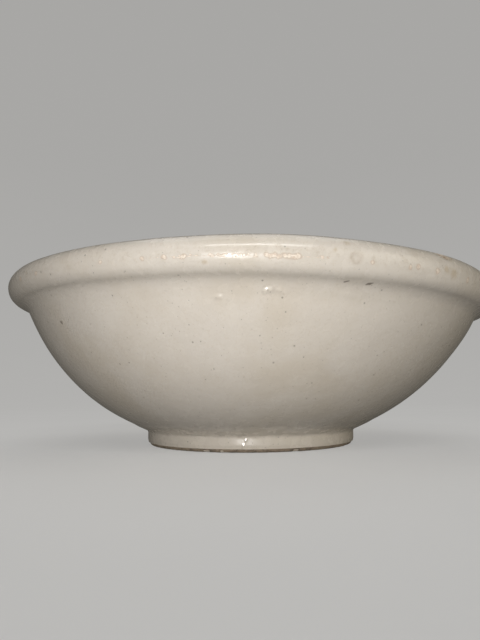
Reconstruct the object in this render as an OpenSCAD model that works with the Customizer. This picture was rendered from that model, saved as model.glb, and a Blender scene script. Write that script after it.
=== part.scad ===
// Evaporating dish: a round, thrown stoneware dish with a rolled rim and a turned foot ring.
// The clay is fired in one piece from three formed parts: the thrown bowl, the rim bead rolled
// down outside its lip, and the foot ring luted underneath. Three coats of glaze cover it: one
// outside, one inside and one on the base within the foot. The foot's underside is left bare.
// Units are millimetres. +Z is up, and the origin is the centre of the foot's resting face.

/* [Overall] */
// Greatest radius of the dish, at the rim bead
rim_r = 77.5; // [75:0.5:84]
// Height from the foot's resting face to the top of the lip
dish_h = 50.5; // [48.5:0.5:53]
// Thickness of every coat of glaze
glaze_t = 0.4; // [0.2:0.05:0.6]

/* [Rim] */
// Radius of the bead's round section
bead_r = 4.2; // [3.8:0.1:4.6]
// How far the outside of the wall lies within the bead's greatest radius, just under the bead
bead_overhang = 5.2; // [4.8:0.1:5.8]
// Drop from the top of the lip to the end of the wall's outside
bead_drop = 8.4; // [8:0.1:8.8]
// Radius of the cove between the bead and the wall
bead_cove_r = 4.4; // [3:0.1:5]

/* [Wall] */
// Slope of the straight flank that rises from the foot
flank_slope = 25; // [24:1:27]
// Slope of the outside of the wall where it reaches the bead
wall_slope = 68; // [66:1:69]
// Slope of the inside of the wall where it meets the lip
lip_slope = 75; // [74:0.5:76]
// Radius of the inside of the wall
inner_wall_r = 58; // [56:1:60]
// Radius of the turn between the inside of the wall and the floor
knuckle_r = 38; // [36:1:40]
// Slope at which the wall gives way to that turn
knuckle_slope = 40; // [36:1:44]
// Slope at which that turn gives way to the floor
floor_slope = 10; // [8:1:12]

/* [Foot] */
// Outer radius of the foot ring
foot_r = 33.9; // [32:0.1:36]
// Height at which the flank would meet the foot ring's side
foot_h = 4.7; // [4.4:0.1:5.2]
// Inner radius of the foot ring
foot_inner_r = 29.5; // [28:0.1:30.5]
// Height of the recessed base within the foot ring
base_z = 3.2; // [2.6:0.1:3.4]
// Radius of the cove between the foot ring and the flank
foot_cove_r = 1.2; // [0.6:0.1:1.4]
// Radius of the cove between the base and the foot ring's inner side
base_cove_r = 1.0; // [0.4:0.1:1.2]
// Height of the bare clay below the glaze, on both sides of the foot ring
glaze_line_z = 1.1; // [0.8:0.1:1.3]
// Rounding of the bare clay's outer edge
foot_edge_r = 1.0; // [0.4:0.1:1]
// Rounding of the bare clay's inner edge
foot_inner_edge_r = 0.6; // [0.3:0.1:0.7]

/* [Hidden] */
$fn = 180;

clay_colour = [0.82, 0.73, 0.64];
glaze_colour = [0.84, 0.81, 0.76];

// Points of an arc about c, from angle a0 to a1, with one point for every step of about 4 degrees
// on a small arc and 2 degrees on a large one.
large_r = 20;
function arc(c, r, a0, a1) =
    let (n = max(2, ceil(abs(a1 - a0) / (r > large_r ? 2 : 4))))
    [for (i = [0 : n]) let (a = a0 + (a1 - a0) * i / n) c + r * [cos(a), sin(a)]];
function reverse(list) = [for (i = [len(list) - 1 : -1 : 0]) list[i]];
function bearing(from, to) = atan2(to[1] - from[1], to[0] - from[0]);
// The point at distances r1 from c1 and r2 from c2, on the right of the line from c1 to c2, or on
// its left where side is -1.
function meet(c1, r1, c2, r2, side = 1) =
    let (d = norm(c2 - c1),
         along = (r1 * r1 - r2 * r2 + d * d) / (2 * d),
         across = sqrt(r1 * r1 - along * along),
         u = (c2 - c1) / d)
    c1 + along * u + side * across * [u[1], -u[0]];

// The section's lines lie in the half plane of radius and height. Each arc's centre stays where it
// is for every depth under the glaze's surface: a convex arc's radius loses the depth, and a
// hollow one's gains it, so each coat has one thickness all over.

// Outside: a straight flank, then one arc up to the bead, both tangent. The flank's length and the
// arc's radius follow from where they start and end.
wall_run = [rim_r - bead_overhang - foot_r, dish_h - bead_drop - foot_h];
turn = [sin(wall_slope) - sin(flank_slope), cos(flank_slope) - cos(wall_slope)];
det = cos(flank_slope) * turn[1] - sin(flank_slope) * turn[0];
flank_len = (wall_run[0] * turn[1] - wall_run[1] * turn[0]) / det;
wall_r = (cos(flank_slope) * wall_run[1] - sin(flank_slope) * wall_run[0]) / det;
flank_end = [foot_r, foot_h] + flank_len * [cos(flank_slope), sin(flank_slope)];
wall_c = flank_end + wall_r * [-sin(flank_slope), cos(flank_slope)];
bead_c = [rim_r - bead_r, dish_h - bead_r];
bead_cove_c = meet(wall_c, wall_r + bead_cove_r, bead_c, bead_r + bead_cove_r);
foot_cove_c = [foot_r + foot_cove_r,
               foot_h - foot_cove_r * (1 - sin(flank_slope)) / cos(flank_slope)];

// Inside: an arc tangent to the lip, a tighter turn, and a shallow floor centred on the axis.
lip_a = 180 - (90 - lip_slope);
inner_wall_c = bead_c + (inner_wall_r + bead_r) * [cos(lip_a), sin(lip_a)];
knuckle_c = inner_wall_c + (inner_wall_r - knuckle_r) * [sin(knuckle_slope), -cos(knuckle_slope)];
floor_r = knuckle_r + knuckle_c[0] / sin(floor_slope);
floor_c = [0, knuckle_c[1] + knuckle_c[0] / tan(floor_slope)];

// Bearings at which the outside's arcs meet.
wall_a = bearing(wall_c, bead_cove_c);
bead_a = bearing(bead_c, bead_cove_c);

function bead_arc(depth, a0, a1) = arc(bead_c, bead_r - depth, a0, a1);
function bead_cove_arc(depth) =
    arc(bead_cove_c, bead_cove_r + depth, bead_a + 180, wall_a + 180);
function wall_arc(depth, top_a) = arc(wall_c, wall_r - depth, top_a, flank_slope - 90);
function foot_cove_arc(depth) = arc(foot_cove_c, foot_cove_r + depth, 90 + flank_slope, 180);
function base_cove_arc(depth) =
    arc([foot_inner_r - base_cove_r, base_z - base_cove_r], base_cove_r + depth, 90, 0);

// From the middle of the floor up to the lip.
function inside_line(depth) = concat(
    arc(floor_c, floor_r + depth, -90, floor_slope - 90),
    arc(knuckle_c, knuckle_r + depth, floor_slope - 90, knuckle_slope - 90),
    arc(inner_wall_c, inner_wall_r + depth, knuckle_slope - 90, lip_slope - 90)
);
// From the top of the lip down to the glaze's lower edge on the foot.
function outside_line(depth) = concat(
    bead_arc(depth, 90, bead_a),
    bead_cove_arc(depth),
    wall_arc(depth, wall_a),
    foot_cove_arc(depth),
    [[foot_r - depth, glaze_line_z]]
);
// From the middle of the base out to the glaze's lower edge within the foot.
function base_line(depth) = concat(
    [[0, base_z + depth]],
    base_cove_arc(depth),
    [[foot_inner_r + depth, glaze_line_z]]
);

// The clay's own joins: the bead lies against the wall's outside, carried on to the lip, and the
// foot ring lies under the flank, carried on down to the base.
clay_top = meet(wall_c, wall_r - glaze_t, bead_c, bead_r - glaze_t, -1);
clay_top_a = bearing(wall_c, clay_top);
clay_base_z = base_z + glaze_t;
flank_foot = foot_cove_arc(glaze_t)[0];
flank_base = [flank_foot[0] - (flank_foot[1] - clay_base_z) / tan(flank_slope), clay_base_z];

module coat(line_at_0, line_at_t) {
    color(glaze_colour) rotate_extrude() polygon(concat(line_at_0, reverse(line_at_t)));
}

module outer_glaze() {
    coat(outside_line(0), outside_line(glaze_t));
}

module inner_glaze() {
    coat(concat(inside_line(0), bead_arc(0, lip_a, 90)),
         concat(inside_line(glaze_t), bead_arc(glaze_t, lip_a, 90)));
}

module base_glaze() {
    coat(base_line(0), base_line(glaze_t));
}

// The wall and floor, thrown in one, with a rounded lip.
module clay_bowl() {
    color(clay_colour) rotate_extrude() polygon(concat(
        inside_line(glaze_t),
        bead_arc(glaze_t, lip_a, bearing(bead_c, clay_top)),
        wall_arc(glaze_t, clay_top_a),
        [flank_foot, flank_base, [0, clay_base_z]]
    ));
}

// The lip's clay rolled outwards and pressed down against the wall.
module rim_bead() {
    color(clay_colour) rotate_extrude() polygon(concat(
        bead_arc(glaze_t, bearing(bead_c, clay_top), bead_a),
        bead_cove_arc(glaze_t),
        arc(wall_c, wall_r - glaze_t, wall_a, clay_top_a)
    ));
}

// The ring that the dish stands on, with a bare resting face.
module foot_ring() {
    outer = foot_r - glaze_t;
    inner = foot_inner_r + glaze_t;
    color(clay_colour) rotate_extrude() polygon(concat(
        arc([outer - foot_edge_r, foot_edge_r], foot_edge_r, -90, 0),
        reverse(foot_cove_arc(glaze_t)),
        [flank_base],
        base_cove_arc(glaze_t),
        arc([inner + foot_inner_edge_r, foot_inner_edge_r], foot_inner_edge_r, 180, 270)
    ));
}

clay_bowl();
rim_bead();
foot_ring();
outer_glaze();
inner_glaze();
base_glaze();
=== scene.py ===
"""An evaporating dish, finished over its CAD frame.

Each of the dish's six solids is made again as a closed, finely divided mesh on the same section.
All six then share one set of handmade irregularities, so that they go on touching each other.
Lengths are in millimetres until a mesh is made, and az is the bearing round the dish in degrees:
0 towards the viewer (-Y) and positive to the viewer's right (+X).
"""
import math

import bpy
import numpy as np
from mathutils import Matrix, Vector, noise


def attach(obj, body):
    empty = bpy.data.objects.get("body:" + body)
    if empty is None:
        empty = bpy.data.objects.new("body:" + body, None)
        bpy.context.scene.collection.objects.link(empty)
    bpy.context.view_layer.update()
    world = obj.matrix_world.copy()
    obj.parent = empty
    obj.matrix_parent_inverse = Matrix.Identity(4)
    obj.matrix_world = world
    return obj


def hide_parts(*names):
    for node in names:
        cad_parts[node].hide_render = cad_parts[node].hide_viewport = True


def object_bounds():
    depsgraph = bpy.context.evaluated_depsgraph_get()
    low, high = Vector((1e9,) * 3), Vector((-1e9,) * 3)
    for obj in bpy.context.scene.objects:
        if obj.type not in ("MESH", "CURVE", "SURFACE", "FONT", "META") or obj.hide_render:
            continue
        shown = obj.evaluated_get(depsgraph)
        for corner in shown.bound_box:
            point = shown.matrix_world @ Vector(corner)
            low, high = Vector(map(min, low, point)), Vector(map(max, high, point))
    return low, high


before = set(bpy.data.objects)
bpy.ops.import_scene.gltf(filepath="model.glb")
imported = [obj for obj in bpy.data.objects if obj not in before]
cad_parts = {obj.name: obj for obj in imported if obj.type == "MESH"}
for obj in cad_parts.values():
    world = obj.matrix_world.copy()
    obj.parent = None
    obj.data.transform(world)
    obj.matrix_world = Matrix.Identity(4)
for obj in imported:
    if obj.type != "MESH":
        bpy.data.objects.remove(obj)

CAD_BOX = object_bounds()
MM = 0.001

# The CAD's driving dimensions.
RIM_R = CAD_BOX[1][0] / MM
DISH_H = CAD_BOX[1][2] / MM
GLAZE_T = 0.4
BEAD_R = 4.2
BEAD_OVERHANG = 5.2
BEAD_DROP = 8.4
BEAD_COVE_R = 4.4
FLANK_SLOPE = 25
WALL_SLOPE = 68
LIP_SLOPE = 75
INNER_WALL_R = 58
KNUCKLE_R = 38
KNUCKLE_SLOPE = 40
FLOOR_SLOPE = 10
FOOT_R = 33.9
FOOT_H = 4.7
FOOT_INNER_R = 29.5
BASE_Z = 3.2
FOOT_COVE_R = 1.2
BASE_COVE_R = 1.0
GLAZE_LINE_Z = 1.1
FOOT_EDGE_R = 1.0
FOOT_INNER_EDGE_R = 0.6

# The view: a lens close to the rim, between the heights of the foot and the rim, looking up a little.
VIEW_DISTANCE = 2.40 * RIM_R
VIEW_HEIGHT = 17
VIEW_PITCH = 7.5
VIEW_YAW = 0.97
VIEW_ROLL = -0.55
LENS = 30.4

# The handmade irregularities: the rim's lean in degrees and how far it sits low, how far the underside
# of the bead hangs lower on the right, and how far the wear and the painted highlight lie below the bead's
# greatest radius.
RIM_LEAN = 1.25
RIM_SINK = 0.35
BEAD_DEEPEN = 1.1
WEAR_AND_HIGHLIGHT_DROP = 1.1


# ---------------------------------------------------------------- the section, as in the CAD

def direction(angle):
    return np.array([math.cos(math.radians(angle)), math.sin(math.radians(angle))])


def bearing(start, end):
    return math.degrees(math.atan2(end[1] - start[1], end[0] - start[0]))


def arc(centre, radius, a0, a1, step):
    count = max(3, math.ceil(abs(math.radians(a1 - a0)) * radius / step))
    return [centre + radius * direction(a0 + (a1 - a0) * i / count) for i in range(count + 1)]


def line(start, end, step):
    start, end = np.array(start, float), np.array(end, float)
    count = max(1, math.ceil(np.linalg.norm(end - start) / step))
    return [start + (end - start) * i / count for i in range(count + 1)]


def meet(c1, r1, c2, r2, side=1):
    """The point at r1 from c1 and r2 from c2, right of the line from c1 to c2, or left if side is -1."""
    gap = np.linalg.norm(c2 - c1)
    along = (r1 * r1 - r2 * r2 + gap * gap) / (2 * gap)
    across = math.sqrt(r1 * r1 - along * along)
    u = (c2 - c1) / gap
    return c1 + along * u + side * across * np.array([u[1], -u[0]])


def wall_circle():
    """The centre and radius of the outside wall, tangent to the flank and ending under the bead."""
    run = np.array([RIM_R - BEAD_OVERHANG - FOOT_R, DISH_H - BEAD_DROP - FOOT_H])
    flank = direction(FLANK_SLOPE)
    turn = np.array([direction(WALL_SLOPE)[1] - flank[1], flank[0] - direction(WALL_SLOPE)[0]])
    det = flank[0] * turn[1] - flank[1] * turn[0]
    length = (run[0] * turn[1] - run[1] * turn[0]) / det
    radius = (flank[0] * run[1] - flank[1] * run[0]) / det
    end = np.array([FOOT_R, FOOT_H]) + length * flank
    return end + radius * np.array([-flank[1], flank[0]]), radius


WALL_C, WALL_R = wall_circle()
BEAD_C = np.array([RIM_R - BEAD_R, DISH_H - BEAD_R])
BEAD_COVE_C = meet(WALL_C, WALL_R + BEAD_COVE_R, BEAD_C, BEAD_R + BEAD_COVE_R)
_slope = math.radians(FLANK_SLOPE)
FOOT_COVE_C = np.array([FOOT_R + FOOT_COVE_R,
                        FOOT_H - FOOT_COVE_R * (1 - math.sin(_slope)) / math.cos(_slope)])
LIP_A = 90 + LIP_SLOPE
INNER_WALL_C = BEAD_C + (INNER_WALL_R + BEAD_R) * direction(LIP_A)
KNUCKLE_C = INNER_WALL_C + (INNER_WALL_R - KNUCKLE_R) * direction(KNUCKLE_SLOPE + 90) * -1
FLOOR_R = KNUCKLE_R + KNUCKLE_C[0] / math.sin(math.radians(FLOOR_SLOPE))
FLOOR_C = np.array([0, KNUCKLE_C[1] + KNUCKLE_C[0] / math.tan(math.radians(FLOOR_SLOPE))])
WALL_A = bearing(WALL_C, BEAD_COVE_C)
BEAD_A = bearing(BEAD_C, BEAD_COVE_C)
CLAY_TOP = meet(WALL_C, WALL_R - GLAZE_T, BEAD_C, BEAD_R - GLAZE_T, -1)


def bead_cove(depth, step):
    return arc(BEAD_COVE_C, BEAD_COVE_R + depth, BEAD_A + 180, WALL_A + 180, step)


def foot_cove(depth, step):
    return arc(FOOT_COVE_C, FOOT_COVE_R + depth, 90 + FLANK_SLOPE, 180, step)


def base_cove(depth, step):
    centre = np.array([FOOT_INNER_R - BASE_COVE_R, BASE_Z - BASE_COVE_R])
    return arc(centre, BASE_COVE_R + depth, 90, 0, step)


def outside_line(depth, fine):
    """From the top of the lip down to the glaze's lower edge, in steps that are a multiple of fine."""
    cove = foot_cove(depth, 0.3 * fine)
    foot_x = FOOT_R - depth
    return (arc(BEAD_C, BEAD_R - depth, 90, BEAD_A, 0.36 * fine)
            + bead_cove(depth, 0.3 * fine)
            + arc(WALL_C, WALL_R - depth, WALL_A, WALL_A - 6, 0.36 * fine)
            + arc(WALL_C, WALL_R - depth, WALL_A - 6, FLANK_SLOPE - 90, 0.8 * fine)
            + line(WALL_C + (WALL_R - depth) * direction(FLANK_SLOPE - 90), cove[0], 0.45 * fine)
            + cove
            + line(cove[-1], [foot_x, GLAZE_LINE_Z], 0.3 * fine))


def inside_line(depth, fine):
    """From the middle of the floor up to the top of the lip."""
    return (arc(FLOOR_C, FLOOR_R + depth, -90, FLOOR_SLOPE - 90, 1.0 * fine)
            + arc(KNUCKLE_C, KNUCKLE_R + depth, FLOOR_SLOPE - 90, KNUCKLE_SLOPE - 90, 0.9 * fine)
            + arc(INNER_WALL_C, INNER_WALL_R + depth, KNUCKLE_SLOPE - 90, LIP_SLOPE - 90, 0.8 * fine)
            + arc(BEAD_C, BEAD_R - depth, LIP_A, 90, 0.36 * fine))


def base_line(depth, fine):
    """From the middle of the base out to the glaze's lower edge within the foot."""
    cove = base_cove(depth, 0.25 * fine)
    return (line([0, BASE_Z + depth], cove[0], 0.9 * fine) + cove
            + line(cove[-1], [FOOT_INNER_R + depth, GLAZE_LINE_Z], 0.3 * fine))


def tidy(points):
    """The same points with no two the same in a row, and with the axis exactly at 0."""
    kept = [points[0]]
    for p in points[1:]:
        if np.linalg.norm(p - kept[-1]) > 1e-4:
            kept.append(p)
    kept = np.array(kept)
    kept[np.abs(kept[:, 0]) < 1e-4, 0] = 0
    return kept


# ---------------------------------------------------------------- handmade shape and surface relief

def smooth(low, high, value):
    t = np.clip((value - low) / (high - low), 0, 1)
    return t * t * (3 - 2 * t)


def bump_at(az, az0, width, level, level0, height):
    """A soft round spot, 1 at its middle, on the surface at bearing az0 and at level0."""
    return np.exp(-((az - az0) / width) ** 2 - ((level - level0) / height) ** 2)


def field(points, size, seed, octaves=3):
    """Smooth seeded noise, about -1 to 1, with features of the given size in millimetres."""
    shift = Vector((17.3 * seed, -9.1 * seed, 5.7 * seed))
    return np.array([noise.fractal(Vector(p) / size + shift, 1.0, 2.0, octaves) for p in points])


def handmade(points):
    """Leans the rim a little, takes it slightly out of round and thickens the bead on one side."""
    x, y, z = points.T
    az = np.arctan2(x, -y)
    height = smooth(FOOT_H + 3, DISH_H - 5, z)
    bead = smooth(DISH_H - 10, DISH_H - 6, z)
    grow = 1 + height * (0.0022 * np.sin(2 * az + 0.6) + 0.0014 * np.sin(3 * az + 2.0)
                         + 0.0006 * np.sin(7 * az + 0.9))
    grow += (1 - height) * 0.0012 * np.sin(2 * az + 1.1)
    roll = bead * (0.03 * np.sin(az) + 0.018 * np.sin(5 * az + 1.0) + 0.012 * np.sin(11 * az))
    drop = BEAD_DEEPEN * (0.45 + 0.55 * np.sin(az))
    drop *= smooth(DISH_H - 24, DISH_H - 9, z) * (1 - smooth(BEAD_C[1] - 4, BEAD_C[1] + 1, z))
    z = z + roll * (z - BEAD_C[1]) - drop
    z = z + height * (-math.tan(math.radians(RIM_LEAN)) * x - RIM_SINK
                      + 0.10 * np.sin(4 * az + 0.4) + 0.05 * np.sin(9 * az + 1.7))
    return np.stack([x * grow, y * grow, z], axis=1)


# Marks a little below the bead's greatest radius, by bearing and relative size: single dots, and the runs
# of patches between them, painted pale as partly wear and partly a painted highlight. Along the front run the
# glaze is also finely pitted.
WEAR_AND_HIGHLIGHT_DOTS = ((-50, 1.4), (-42.5, 1.2), (-25, 1.1), (-17, 1.1), (-11.6, 0.6), (20, 1.0), (27.5, 1.1),
             (29.2, 1.3), (34, 1.4), (43.5, 1.4), (71, 0.9), (96, 1.1), (99, 0.6), (127, 1.0),
             (166, 0.8), (-84, 1.0), (-109, 0.7), (-133, 1.1), (-158, 0.9))
WEAR_AND_HIGHLIGHT_PATCHES = ((-13.4, -13.1, 1.0), (-10.5, -9.9, 1.0), (-5.9, -5.4, 0.7), (-4.6, -3.4, 0.8),
                (-2.4, -0.6, 0.8), (2.8, 4.6, 1.1), (5.6, 7.7, 1.3), (78, 80, 1.1), (111, 112.5, 1.0),
                (150, 153, 1.2), (-70, -69, 0.9), (-118, -115, 1.2), (-171, -169, 1.0))
WEAR_AND_HIGHLIGHT_RUN = (-14, 10)
FLAKE_AZ = 17.0
CHIP_AZ = 36.5
GLINT_SPOTS = ((3.2, 39.3, 0.25), (4.0, 39.6, 0.20), (5.4, 39.4, 0.25), (-5.6, 37.8, 0.14),
               (-5.0, 37.9, 0.14), (-2.1, 3.5, 0.09), (-3.3, 1.9, 0.09))


# Other marks on the outside, as (bearing, height, relative size).
IRON_MARKS = ((16.5, 41.75, 0.7), (16.85, 41.85, 0.8), (17.2, 41.95, 0.6),
              (20.9, 41.65, 0.9), (21.3, 41.8, 1.2), (21.7, 41.95, 0.9), (-45, 34.6, 1.1),
              (-44.8, 34.2, 0.9), (-27, 43.4, 0.7), (62, 30, 1.0), (104, 24, 1.1), (152, 36, 0.9),
              (-98, 28, 1.2), (-141, 19, 0.9))
STAINS = ((38.5, 49.2, 1.0), (36.5, 45.8, 0.8), (38.5, 45.6, 0.9), (15.5, 48.6, 0.55), (13.5, 46.8, 0.45),
          (-6.8, 44.2, 0.45), (91, 47, 1.3), (-128, 44, 1.2))


def on_section(az, z):
    """The place on the outside at that bearing and height."""
    cove = bead_cove(0, 1)
    if z > cove[0][1]:
        radius = BEAD_C[0] + math.sqrt(max(0, BEAD_R ** 2 - (z - BEAD_C[1]) ** 2))
    elif z > cove[-1][1]:
        radius = BEAD_COVE_C[0] - math.sqrt(BEAD_COVE_R ** 2 - (z - BEAD_COVE_C[1]) ** 2)
    else:
        radius = WALL_C[0] + math.sqrt(WALL_R ** 2 - (z - WALL_C[1]) ** 2)
    return np.array([radius * math.sin(math.radians(az)), -radius * math.cos(math.radians(az)), z])


def wear_and_highlight_places():
    """Where the bead is painted pale, partly as wear and partly as a painted highlight, as (bearing, height,
    relative size).
    """
    spots = [(az, size) for az, size in WEAR_AND_HIGHLIGHT_DOTS]
    spots += [(start + (end - start) * i / 3, size) for start, end, size in WEAR_AND_HIGHLIGHT_PATCHES for i in range(4)]
    return [(az, BEAD_C[1] - WEAR_AND_HIGHLIGHT_DROP + 0.15 * math.sin(5 * az), size) for az, size in spots]


def nearest(points, places):
    """The distance in millimetres to the nearest of those places, divided by its relative size."""
    gap = np.full(len(points), 6.0)
    for az, z, size in places:
        away = (points - on_section(az, z)) * (1, 1, 1.3)
        gap = np.minimum(gap, np.linalg.norm(away, axis=1) / size)
    return gap


def outside_relief(az, level, points):
    """How far the outer glaze stands out from the section, and the masks that its material reads."""
    flow = field(points * [1, 1, 0.4], 14, 1)
    fine = field(points, 3.2, 2)
    pool_edge = 64.2 + 1.5 * field(points * [1, 1, 0], 9, 3) + 0.8 * np.sin(np.radians(az) * 3 + 1)
    pool = smooth(-1.2, 1.2, level - pool_edge) * (1 - smooth(72.5, 74, level))
    out = 0.05 * flow + 0.012 * fine + 0.16 * pool
    crest = math.radians(90) * BEAD_R
    on_crest = np.exp(-((level - crest - WEAR_AND_HIGHLIGHT_DROP) / 0.9) ** 2)
    out -= 0.04 * on_crest
    flake = bump_at(az, FLAKE_AZ, 0.95, level, crest + 0.7, 1.15)
    out += 0.38 * flake - 0.70 * flake ** 3
    across = az - 0.5 * (level - 2.6)
    chip = smooth(0.35, 0.6, bump_at(across, CHIP_AZ, 1.8, level, 2.9, 1.7) + 0.12 * fine)
    chip_dark = chip * smooth(-0.1, 0.5, across - CHIP_AZ)
    out -= 0.34 * chip
    ring = smooth(0.25, 0.5, flake) * (1 - smooth(0.6, 0.85, flake))
    for spot_az, spot_z, height in GLINT_SPOTS:
        out += height * bump_at(az, spot_az, 0.55, points[:, 2], spot_z, 0.45)
    # The front run of the bead, where wear and a painted highlight are painted pale together.
    run = smooth(WEAR_AND_HIGHLIGHT_RUN[0] - 3, WEAR_AND_HIGHLIGHT_RUN[0], az) * (1 - smooth(WEAR_AND_HIGHLIGHT_RUN[1], WEAR_AND_HIGHLIGHT_RUN[1] + 3, az))
    far = 0.45 * smooth(60, 100, np.abs(az))
    wear_and_highlight_gap = nearest(points, wear_and_highlight_places())
    out += 0.03 * (1 - smooth(0.2, 0.6, wear_and_highlight_gap))
    return out, {"level": level - crest, "wear_and_highlight": np.maximum(run, far), "pool": pool, "chip": chip,
                 "dark": np.maximum(chip_dark, 0.3 * ring),
                 "wear_and_highlight_gap": wear_and_highlight_gap, "iron": nearest(points, IRON_MARKS), "stain": nearest(points, STAINS)}


def inside_relief(az, level, points):
    """The inner glaze lies smoother, with faint throwing rings and a shallow pool on the floor."""
    flow = field(points, 18, 5)
    spiral = 0.03 * np.sin(level * 1.3 - np.radians(az) + 1.2 * flow) * smooth(8, 16, level)
    pool = 1 - smooth(20, 32, level + 3 * flow)
    out = 0.05 * flow + spiral * (1 - smooth(66, 74, level)) + 0.06 * pool
    return out, {"level": level, "pool": pool, "wear_and_highlight": 0 * az, "chip": 0 * az}


def base_relief(az, level, points):
    flow = field(points, 11, 6)
    spiral = 0.07 * np.sin(level * 1.7 - np.radians(az))
    return 0.06 * flow + spiral * (1 - smooth(24, 28, level)), {"level": level, "pool": 0 * az,
                                                               "wear_and_highlight": 0 * az, "chip": 0 * az}


FOOT_CHIPS = ((-22, 1.6), (-14, 0.8), (22.5, 1.4), (63, 1.1), (118, 1.9), (171, 1.2), (-77, 1.0), (-126, 2.2))


def foot_relief(az, level, points):
    """The bare clay is gritty, and its outer edge is chipped here and there."""
    grit = field(points, 1.1, 8, 2)
    bare = 1 - smooth(GLAZE_LINE_Z - 0.2, GLAZE_LINE_Z + 0.3, points[:, 2])
    out = 0.05 * (grit - 1) * bare
    chips = np.zeros(len(az))
    radius = np.hypot(points[:, 0], points[:, 1])
    edge = smooth(FOOT_R - 1.6, FOOT_R - 0.9, radius) * (1 - smooth(0.4, 0.9, points[:, 2]))
    for chip_az, width in FOOT_CHIPS:
        chips = np.maximum(chips, np.exp(-((az - chip_az) / width) ** 4))
    chips = chips * edge
    return out - 0.3 * chips * bare, {"chip": chips, "level": points[:, 2], "pool": 0 * az, "wear_and_highlight": 0 * az}


# ---------------------------------------------------------------- meshes

def bearings(fine_at=()):
    """Columns round the dish: even all round, finer over the side that is seen closest and at marks."""
    columns = [a for a in np.arange(-180, 180, 1.5) if abs(a) > 57]
    columns += [-57 + 114 * i / 160 for i in range(161)]
    columns += [az + 0.3 * i for az in fine_at for i in range(-2, 3)]
    kept = []
    for a in sorted(columns):
        if not kept or a - kept[-1] > 0.22:
            kept.append(a)
    return np.array(kept)


def revolve(name, section, skin=0, relief=None, facing=1, azimuths=None):
    """A closed solid of revolution. The first skin points of the section are its seen surface.

    relief moves that surface along its normal and returns masks, which become mesh attributes.
    """
    az_list = bearings() if azimuths is None else azimuths
    section = tidy(section)
    rows, columns = len(section), len(az_list)
    steps = np.linalg.norm(np.diff(section, axis=0), axis=1)
    level = np.concatenate([[0], np.cumsum(steps)])
    tangent = np.gradient(section[:skin], axis=0) if skin else np.zeros((0, 2))
    normal = np.stack([-tangent[:, 1], tangent[:, 0]], axis=1) * facing
    normal = normal / np.maximum(np.linalg.norm(normal, axis=1, keepdims=True), 1e-9)
    normal = np.concatenate([normal, np.zeros((rows - skin, 2))])
    a = np.radians(az_list)
    ring = np.stack([np.sin(a), -np.cos(a)], axis=1)

    def spread(radial, axial):
        return np.concatenate([(radial[:, None, None] * ring[None]),
                               np.repeat(axial[:, None, None], columns, 1)], axis=2).reshape(-1, 3)

    points = spread(section[:, 0], section[:, 1])
    masks = {}
    if relief:
        az = np.tile(az_list, rows)
        levels = np.repeat(level, columns)
        out, masks = relief(az, levels, points)
        ends = np.ones(rows)
        ends[skin:] = 0
        if skin < rows:
            ends[skin - 1] = 0
        taper = smooth(0, 1.0, np.minimum(level, max(level[skin - 1], 1e-6) - level))
        if section[0][0] > 0:
            ends = ends * np.where(np.arange(rows) < skin, taper, 0)
        push = out * np.repeat(ends, columns)
        points = points + spread(normal[:, 0], normal[:, 1]) * push[:, None]
    points = handmade(points)

    index = np.arange(rows * columns).reshape(rows, columns)
    for row in range(rows):
        if section[row][0] == 0:
            points[index[row]] = points[index[row]].mean(axis=0)
            index[row] = index[row][0]
    used, packed = np.unique(index, return_inverse=True)
    packed = packed.reshape(rows, columns)
    points = points[used]
    faces = []
    open_ended = section[0][0] == 0 and section[-1][0] == 0
    for row in range(rows - 1 if open_ended else rows):
        here, there = packed[row], packed[(row + 1) % rows]
        right_here, right_there = np.roll(here, -1), np.roll(there, -1)
        quads = np.stack([here, right_here, right_there, there], axis=1)
        for quad in quads.tolist():
            corners = list(dict.fromkeys(quad))
            if len(corners) > 2:
                faces.append(corners)
    # Those faces look outwards only where the section runs counterclockwise.
    turn = np.roll(section, -1, axis=0)
    if np.sum(section[:, 0] * turn[:, 1] - turn[:, 0] * section[:, 1]) < 0:
        faces = [f[::-1] for f in faces]
    mesh = bpy.data.meshes.new(name)
    mesh.from_pydata((points * MM).tolist(), [], faces)
    mesh.polygons.foreach_set("use_smooth", [True] * len(mesh.polygons))
    mesh.set_sharp_from_angle(angle=math.radians(50))
    for key, values in masks.items():
        layer = mesh.attributes.new(key, "FLOAT", "POINT")
        layer.data.foreach_set("value", np.asarray(values, float)[used])
    mesh.validate()
    mesh.update()
    piece = bpy.data.objects.new(name, mesh)
    bpy.context.scene.collection.objects.link(piece)
    return piece


# The dish's pieces as they are made, for the lamps that light nothing else.
PIECES = []


def finish_piece(piece, node, material):
    piece.data.materials.append(material)
    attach(piece, "root")
    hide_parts(node)
    PIECES.append(piece)
    return piece


# ---------------------------------------------------------------- materials

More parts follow.
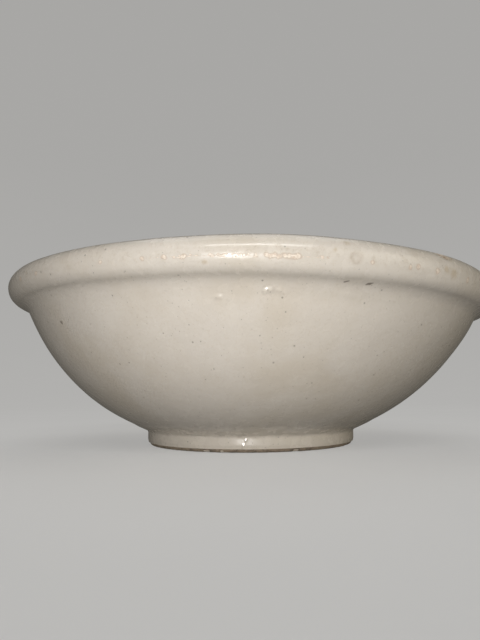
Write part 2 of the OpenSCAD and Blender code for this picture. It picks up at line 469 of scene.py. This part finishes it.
class Graph:
    """A material's node tree, with one short call for each kind of node used here."""

    def __init__(self, name):
        self.material = bpy.data.materials.new(name)
        self.material.use_nodes = True
        self.tree = self.material.node_tree
        self.tree.nodes.clear()
        self.place = self.add("ShaderNodeTexCoord").outputs["Object"]

    def add(self, kind, values=None, **settings):
        node = self.tree.nodes.new(kind)
        for key, value in settings.items():
            setattr(node, key, value)
        for key, value in (values or {}).items():
            if isinstance(value, bpy.types.NodeSocket):
                self.tree.links.new(value, node.inputs[key])
            else:
                node.inputs[key].default_value = value
        return node

    def mask(self, name):
        return self.add("ShaderNodeAttribute", attribute_name=name).outputs["Fac"]

    def noise(self, size_mm, detail=3.0, rough=0.5, warp=0.0, place=None):
        """Cloudy noise from 0 to 1, with features of about that size."""
        return self.add("ShaderNodeTexNoise", {"Vector": place or self.place, "Scale": 1 / (size_mm * MM),
                                               "Detail": detail, "Roughness": rough,
                                               "Distortion": warp}).outputs["Fac"]

    def math(self, operation, a, b=0.0):
        return self.add("ShaderNodeMath", {0: a, 1: b}, operation=operation).outputs[0]

    def ramp(self, value, low, high, start=0.0, end=1.0):
        return self.add("ShaderNodeMapRange", {"Value": value, "From Min": low, "From Max": high,
                                               "To Min": start, "To Max": end},
                        interpolation_type="SMOOTHSTEP").outputs["Result"]

    def mix(self, amount, a, b):
        node = self.add("ShaderNodeMix", data_type="RGBA")
        for socket, value in ((0, amount), (6, a), (7, b)):
            if isinstance(value, bpy.types.NodeSocket):
                self.tree.links.new(value, node.inputs[socket])
            else:
                node.inputs[socket].default_value = value
        return node.outputs[2]

    def specks(self, cell_mm, share, size):
        """Small round specks: a share of the cells holds one, of size times the cell."""
        warped = self.add("ShaderNodeVectorMath", {0: self.place, 1: (0.031, 0.017, 0.043)})
        cells = self.add("ShaderNodeTexVoronoi", {"Vector": warped.outputs[0], "Scale": 1 / (cell_mm * MM)})
        chance = self.add("ShaderNodeSeparateColor", {0: cells.outputs["Color"]})
        has = self.ramp(chance.outputs[0], 1 - share, 1 - share + 0.02)
        own_size = self.ramp(chance.outputs[1], 0, 1, size * 0.45, size)
        near = self.math("SUBTRACT", own_size, cells.outputs["Distance"])
        return self.math("MULTIPLY", self.ramp(near, 0, size * 0.35), has)

    def bump(self, height, distance_mm, strength=1.0, normal=None):
        values = {"Height": height, "Distance": distance_mm * MM, "Strength": strength}
        if normal is not None:
            values["Normal"] = normal
        return self.add("ShaderNodeBump", values).outputs["Normal"]

    def surface(self, colour, rough, normal, **fixed):
        shader = self.add("ShaderNodeBsdfPrincipled", {"Base Color": colour, "Roughness": rough,
                                                       "Normal": normal})
        for key, value in fixed.items():
            socket = shader.inputs[key.replace("_", " ")]
            if isinstance(value, bpy.types.NodeSocket):
                self.tree.links.new(value, socket)
            else:
                socket.default_value = value
        end = self.add("ShaderNodeOutputMaterial")
        self.tree.links.new(shader.outputs[0], end.inputs["Surface"])
        return self.material


# The weight of the glaze's clear coat, and the colours.
GLOSS = 0.35
CREAM = (0.715, 0.662, 0.590, 1)
CREAM_DEEP = (0.630, 0.562, 0.462, 1)
CREAM_PALE = (0.755, 0.702, 0.622, 1)
PEACH = (0.710, 0.595, 0.485, 1)
# A pale peach for wear on the bead and on the chip, and for the painted highlight there.
PALE_WEAR_AND_HIGHLIGHT = (0.900, 0.815, 0.710, 1)
RUST = (0.400, 0.250, 0.140, 1)
BROWN = (0.260, 0.165, 0.090, 1)
SPECK = (0.130, 0.105, 0.075, 1)
# Brown for the stains, and for the painted shade along the top of the lip.
STAIN_AND_LIP_SHADE = (0.440, 0.330, 0.180, 1)
BUFF = (0.430, 0.345, 0.245, 1)
DIRT = (0.145, 0.115, 0.085, 1)


def glaze(name, rim_wear_and_painted_light=False, grime=0.0):
    """Warm cream glaze: cloudy colour, fine dark specks, pinholes and a soft, slightly uneven gloss."""
    g = Graph(name)
    cloud = g.noise(22, 3, 0.55, 0.3)
    drift = g.noise(7, 4, 0.6)
    grain = g.noise(0.55, 2, 0.7)
    colour = g.mix(g.ramp(cloud, 0.40, 0.70, 0, 0.60), CREAM, CREAM_DEEP)
    colour = g.mix(g.ramp(drift, 0.45, 0.75, 0, 0.45), colour, CREAM_PALE)
    colour = g.mix(g.ramp(grain, 0.50, 0.75, 0, 0.55), colour, CREAM_DEEP)
    colour = g.mix(g.ramp(g.mask("pool"), 0, 1, 0, 0.35), colour, CREAM_DEEP)
    small = g.specks(1.1, 0.50, 0.20)
    middling = g.specks(2.3, 0.55, 0.13)
    colour = g.mix(g.math("MULTIPLY", small, 0.28), colour, SPECK)
    colour = g.mix(g.math("MULTIPLY", middling, 0.50), colour, SPECK)
    rough = g.ramp(g.noise(3.0, 3), 0.3, 0.75, 0.20, 0.34)
    height = g.math("MULTIPLY", g.noise(2.2, 2, 0.45), 0.6)
    height = g.math("ADD", height, g.math("MULTIPLY", grain, 0.05))
    height = g.math("SUBTRACT", height, g.math("MULTIPLY", small, 0.25))
    height = g.math("SUBTRACT", height, g.math("MULTIPLY", middling, 0.45))
    if grime:
        stain = g.ramp(g.noise(9, 5, 0.65, 0.6), 0.50, 0.72, 0, grime)
        colour = g.mix(stain, colour, BUFF)
    if rim_wear_and_painted_light:
        level = g.mask("level")
        width = g.ramp(g.noise(2.6, 2), 0.42, 0.7, 0.02, 0.55)
        belt = g.ramp(g.math("ABSOLUTE", g.math("SUBTRACT", level, WEAR_AND_HIGHLIGHT_DROP)), width, 0.0)
        crumbs = g.noise(0.62, 1.5, 0.5)
        patch = g.math("MULTIPLY", g.math("MULTIPLY", belt, g.mask("wear_and_highlight")), g.ramp(crumbs, 0.46, 0.66))
        ragged = g.math("MULTIPLY", g.math("SUBTRACT", g.noise(0.7, 2), 0.5), 0.6)
        wear_and_highlight_gap = g.math("ADD", g.mask("wear_and_highlight_gap"), ragged)
        wear_and_highlight = g.math("MAXIMUM", g.ramp(patch, 0.12, 0.24), g.ramp(wear_and_highlight_gap, 0.46, 0.32))
        halo = g.math("MAXIMUM", g.ramp(patch, 0.02, 0.10), g.ramp(wear_and_highlight_gap, 0.72, 0.46))
        near_belt = g.ramp(g.math("ABSOLUTE", level), 2.6, 0.2)
        faint = g.math("MULTIPLY", near_belt, g.ramp(g.noise(1.6, 4, 0.7), 0.50, 0.72, 0, 0.40))
        colour = g.mix(faint, colour, BUFF)
        colour = g.mix(g.math("MULTIPLY", halo, 0.38), colour, RUST)
        # Pale peach painted along the bead: partly worn glaze, partly a painted highlight.
        colour = g.mix(g.math("MULTIPLY", wear_and_highlight, 0.9), colour,
                       g.mix(g.ramp(g.noise(0.5, 1), 0.35, 0.62), PEACH, PALE_WEAR_AND_HIGHLIGHT))
        rough = g.math("ADD", rough, g.math("MULTIPLY", halo, 0.25))
        height = g.math("SUBTRACT", height, g.math("MULTIPLY", halo, 0.25))
        height = g.math("ADD", height, g.math("MULTIPLY", wear_and_highlight, 0.5))
        # Painted shade: a patchy brownish band along the top of the lip.
        lip = g.ramp(g.math("ABSOLUTE", g.math("ADD", level, 5.8)), 1.7, 0.2)
        painted_lip_shade = g.math("MULTIPLY", lip, g.ramp(g.noise(4.5, 4, 0.7), 0.42, 0.72, 0.08, 0.65))
        colour = g.mix(painted_lip_shade, colour, STAIN_AND_LIP_SHADE)
        # Iron marks, a stain by the chip, and the chip painted pale, partly its bare body and partly a
        # painted highlight on its edge.
        marks = g.ramp(g.math("ADD", g.mask("iron"), g.math("MULTIPLY", ragged, 0.6)), 0.50, 0.30)
        colour = g.mix(g.math("MULTIPLY", marks, 0.75), colour, DIRT)
        spread = g.math("MULTIPLY", g.math("SUBTRACT", g.noise(1.3, 4, 0.75), 0.5), 4.5)
        stains = g.ramp(g.math("ADD", g.mask("stain"), spread), 2.2, 0.2)
        colour = g.mix(g.math("MULTIPLY", stains, 0.42), colour, STAIN_AND_LIP_SHADE)
        chip = g.mask("chip")
        colour = g.mix(chip, colour, PALE_WEAR_AND_HIGHLIGHT)
        colour = g.mix(g.math("MULTIPLY", g.mask("dark"), g.ramp(g.noise(0.6, 3), 0.3, 0.6, 0.5, 0.95)),
                       colour, BROWN)
        rough = g.math("ADD", rough, g.math("MULTIPLY", chip, 0.4))
        # Pale smears low on the wall, and painted shade: a patchy buff darkening in the crease where the
        # flank meets the foot.
        smear = g.math("MULTIPLY", g.ramp(level, 48, 58),
                       g.ramp(g.noise(5, 4, 0.65, 0.8), 0.55, 0.75, 0, 0.35))
        colour = g.mix(smear, colour, CREAM_PALE)
        corner = g.ramp(g.math("ABSOLUTE", g.math("SUBTRACT", level, 67.4)), 1.5, 0.1)
        colour = g.mix(g.math("MULTIPLY", corner, g.ramp(g.noise(6, 3), 0.35, 0.7, 0.05, 0.5)), colour, BUFF)
        gloss = g.ramp(g.math("MAXIMUM", halo, chip), 0, 1, GLOSS, 0.4 * GLOSS)
    else:
        gloss = GLOSS
    normal = g.bump(height, 0.10, 0.8)
    return g.surface(colour, rough, normal, IOR=1.5, Coat_Weight=gloss, Coat_Roughness=0.10, Coat_IOR=1.5)


def fired_clay(name):
    """Bare stoneware: dry, buff to brown, gritty, with dirt worked into its resting edge."""
    g = Graph(name)
    colour = g.mix(g.ramp(g.noise(6, 4, 0.6), 0.35, 0.65), BUFF, (0.40, 0.31, 0.22, 1))
    colour = g.mix(g.ramp(g.noise(0.8, 3, 0.7), 0.45, 0.75, 0, 0.6), colour, (0.60, 0.51, 0.40, 1))
    colour = g.mix(g.ramp(g.noise(3.5, 5, 0.7, 0.5), 0.40, 0.62, 0.35, 0.85), colour, DIRT)
    colour = g.mix(g.math("MULTIPLY", g.specks(1.6, 0.35, 0.18), 0.7), colour, SPECK)
    colour = g.mix(g.ramp(g.mask("chip"), 0.25, 0.6), colour, (0.72, 0.64, 0.53, 1))
    height = g.math("ADD", g.noise(0.6, 4, 0.7), g.math("MULTIPLY", g.noise(2.4, 3), 0.7))
    return g.surface(colour, g.ramp(g.noise(1.5, 2), 0.3, 0.7, 0.70, 0.92),
                     g.bump(height, 0.16, 0.9), IOR=1.5)


# ---------------------------------------------------------------- the dish's pieces

def make_outer_coat(material):
    skin = tidy(outside_line(0, 1.0))
    section = list(skin) + outside_line(GLAZE_T, 4)[::-1]
    fine_at = ([place[0] for place in wear_and_highlight_places() + list(IRON_MARKS)]
               + [CHIP_AZ - 0.7, CHIP_AZ + 0.7, FLAKE_AZ])
    fine_at += [spot[0] for spot in GLINT_SPOTS]
    piece = revolve("outer_coat", section, len(skin), outside_relief, azimuths=bearings(fine_at))
    return finish_piece(piece, "outer_glaze", material)


def make_inner_coat(material):
    skin = tidy(inside_line(0, 1.0))
    section = list(skin) + inside_line(GLAZE_T, 2.2)[::-1]
    return finish_piece(revolve("inner_coat", section, len(skin), inside_relief), "inner_glaze",
                        material)


def make_base_coat(material):
    skin = tidy(base_line(0, 1.0))
    section = list(skin) + base_line(GLAZE_T, 2.0)[::-1]
    return finish_piece(revolve("base_coat", section, len(skin), base_relief, facing=-1), "base_glaze",
                        material)


def flank_feet():
    """Where the flank's clay ends at the foot's cove, and where its line reaches the base's height."""
    top = foot_cove(GLAZE_T, 0.3)[0]
    base_z = BASE_Z + GLAZE_T
    return top, np.array([top[0] - (top[1] - base_z) / math.tan(_slope), base_z])


def make_bowl_clay(material):
    top, low = flank_feet()
    lip = arc(BEAD_C, BEAD_R - GLAZE_T, LIP_A, bearing(BEAD_C, CLAY_TOP), 0.8)
    section = (inside_line(GLAZE_T, 2.2)[:-1 * (len(arc(BEAD_C, BEAD_R - GLAZE_T, LIP_A, 90, 0.36 * 2.2)))]
               + lip
               + arc(WALL_C, WALL_R - GLAZE_T, bearing(WALL_C, CLAY_TOP), FLANK_SLOPE - 90, 1.6)
               + line(WALL_C + (WALL_R - GLAZE_T) * direction(FLANK_SLOPE - 90), top, 1.0)
               + [low, np.array([0, low[1]])])
    return finish_piece(revolve("bowl_clay", section), "clay_bowl", material)


def make_bead_clay(material):
    section = (arc(BEAD_C, BEAD_R - GLAZE_T, bearing(BEAD_C, CLAY_TOP), BEAD_A, 0.8)
               + bead_cove(GLAZE_T, 0.7)
               + arc(WALL_C, WALL_R - GLAZE_T, WALL_A, bearing(WALL_C, CLAY_TOP), 1.2))
    return finish_piece(revolve("bead_clay", section), "rim_bead", material)


def make_foot_clay(material):
    top, low = flank_feet()
    outer, inner = FOOT_R - GLAZE_T, FOOT_INNER_R + GLAZE_T
    edge_c = np.array([outer - FOOT_EDGE_R, FOOT_EDGE_R])
    inner_c = np.array([inner + FOOT_INNER_EDGE_R, FOOT_INNER_EDGE_R])
    skin = tidy(base_cove(GLAZE_T, 0.4)[-1:]
                + line(base_cove(GLAZE_T, 0.4)[-1], [inner, FOOT_INNER_EDGE_R], 0.3)
                + arc(inner_c, FOOT_INNER_EDGE_R, 180, 270, 0.2)
                + line([inner_c[0], 0], [edge_c[0], 0], 0.3)
                + arc(edge_c, FOOT_EDGE_R, -90, 0, 0.2)
                + line([outer, FOOT_EDGE_R], foot_cove(GLAZE_T, 0.4)[-1], 0.3))
    section = list(skin) + foot_cove(GLAZE_T, 0.4)[::-1] + [low] + base_cove(GLAZE_T, 0.4)[:-1]
    return finish_piece(revolve("foot_clay", section, len(skin), foot_relief, facing=-1), "foot_ring",
                        material)


# ---------------------------------------------------------------- floor, light and camera

def make_floor():
    """A pale floor that curves up into a plain wall all round, far from the dish."""
    profile = [(0, 0), (0.15, 0), (0.45, 0)]
    profile += [(0.45 + 1.2 * math.sin(t), 1.2 - 1.2 * math.cos(t))
                for t in [math.radians(a) for a in range(3, 91, 3)]]
    profile += [(1.65, 2.0)]
    sides = 96
    verts = [(r * math.cos(math.tau * i / sides), r * math.sin(math.tau * i / sides), z)
             for r, z in profile for i in range(sides)]
    faces = [(row * sides + i, row * sides + (i + 1) % sides, (row + 1) * sides + (i + 1) % sides,
              (row + 1) * sides + i) for row in range(len(profile) - 1) for i in range(sides)]
    mesh = bpy.data.meshes.new("pale_floor")
    mesh.from_pydata(verts, [], faces)
    mesh.polygons.foreach_set("use_smooth", [True] * len(mesh.polygons))
    floor = bpy.data.objects.new("pale_floor", mesh)
    bpy.context.scene.collection.objects.link(floor)
    g = Graph("floor_paint")
    tone = g.mix(g.noise(120, 2), (0.30, 0.30, 0.295, 1), (0.33, 0.33, 0.325, 1))
    mesh.materials.append(g.surface(tone, g.ramp(g.noise(40, 2), 0.3, 0.7, 0.75, 0.85),
                                    g.bump(g.noise(2, 2), 0.02, 0.3), IOR=1.4,
                                    Emission_Color=(1, 0.99, 0.97, 1), Emission_Strength=0.36))
    floor.visible_diffuse = False
    floor.visible_glossy = False


def area_light(name, place, target, size, watts, colour=(1, 1, 1)):
    light = bpy.data.lights.new(name, "AREA")
    light.shape = "RECTANGLE"
    light.size, light.size_y = size
    light.energy = watts
    light.color = colour
    lamp = bpy.data.objects.new(name, light)
    bpy.context.scene.collection.objects.link(lamp)
    lamp.location = place
    lamp.rotation_euler = (Vector(target) - Vector(place)).to_track_quat("-Z", "Y").to_euler()
    return lamp


def light_only_the_dish(lamp):
    """Keeps a lamp that stands close to the floor from burning out the floor beneath it."""
    lit = bpy.data.collections.new("lit_by_" + lamp.name)
    for piece in PIECES:
        lit.objects.link(piece)
    lamp.light_linking.receiver_collection = lit


def make_lights():
    middle = (0, 0, 0.03)
    key = area_light("key", (-0.022, -0.215, 0.012), (0.004, 0, 0.020), (0.034, 0.022), 0.176,
                     (1, 0.985, 0.975))
    light_only_the_dish(key)
    area_light("strip", (0.045, -0.68, 0.57), middle, (0.60, 0.05), 1.5)
    bounce = area_light("bounce", (0, -0.10, 0.001), (0, -0.10, 1), (0.24, 0.08), 0.011, (1, 0.98, 0.95))
    bounce.visible_camera = False
    fill = area_light("fill", (0.55, -0.35, 0.22), middle, (0.5, 0.4), 0.75, (1, 0.93, 0.78))
    light_only_the_dish(fill)
    area_light("overhead", (0.0, 0.2, 1.0), middle, (0.9, 0.9), 2.0)
    back = area_light("back", (0, 0.75, 0.10), middle, (0.34, 0.12), 2.6, (1, 0.98, 0.95))
    light_only_the_dish(back)
    world = bpy.data.worlds.new("room")
    world.use_nodes = True
    world.node_tree.nodes["Background"].inputs[0].default_value = (1.0, 0.95, 0.84, 1)
    world.node_tree.nodes["Background"].inputs[1].default_value = 0.085
    bpy.context.scene.world = world
    bpy.context.scene.view_settings.view_transform = "Standard"


def make_camera():
    data = bpy.data.cameras.new("view")
    data.lens = LENS
    data.sensor_width = 36
    data.clip_start = 0.01
    data.clip_end = 20
    camera = bpy.data.objects.new("view", data)
    bpy.context.scene.collection.objects.link(camera)
    camera.matrix_world = (Matrix.Translation((0, -VIEW_DISTANCE * MM, VIEW_HEIGHT * MM))
                           @ Matrix.Rotation(math.radians(VIEW_YAW), 4, "Z")
                           @ Matrix.Rotation(math.radians(90 + VIEW_PITCH), 4, "X")
                           @ Matrix.Rotation(math.radians(VIEW_ROLL), 4, "Z"))
    bpy.context.scene.camera = camera


make_camera()
clay = fired_clay("fired_clay")
make_bowl_clay(clay)
make_bead_clay(clay)
make_foot_clay(clay)
make_outer_coat(glaze("outer_cream_glaze", rim_wear_and_painted_light=True))
make_inner_coat(glaze("inner_cream_glaze", grime=0.12))
make_base_coat(glaze("base_cream_glaze", grime=0.35))
make_floor()
make_lights()
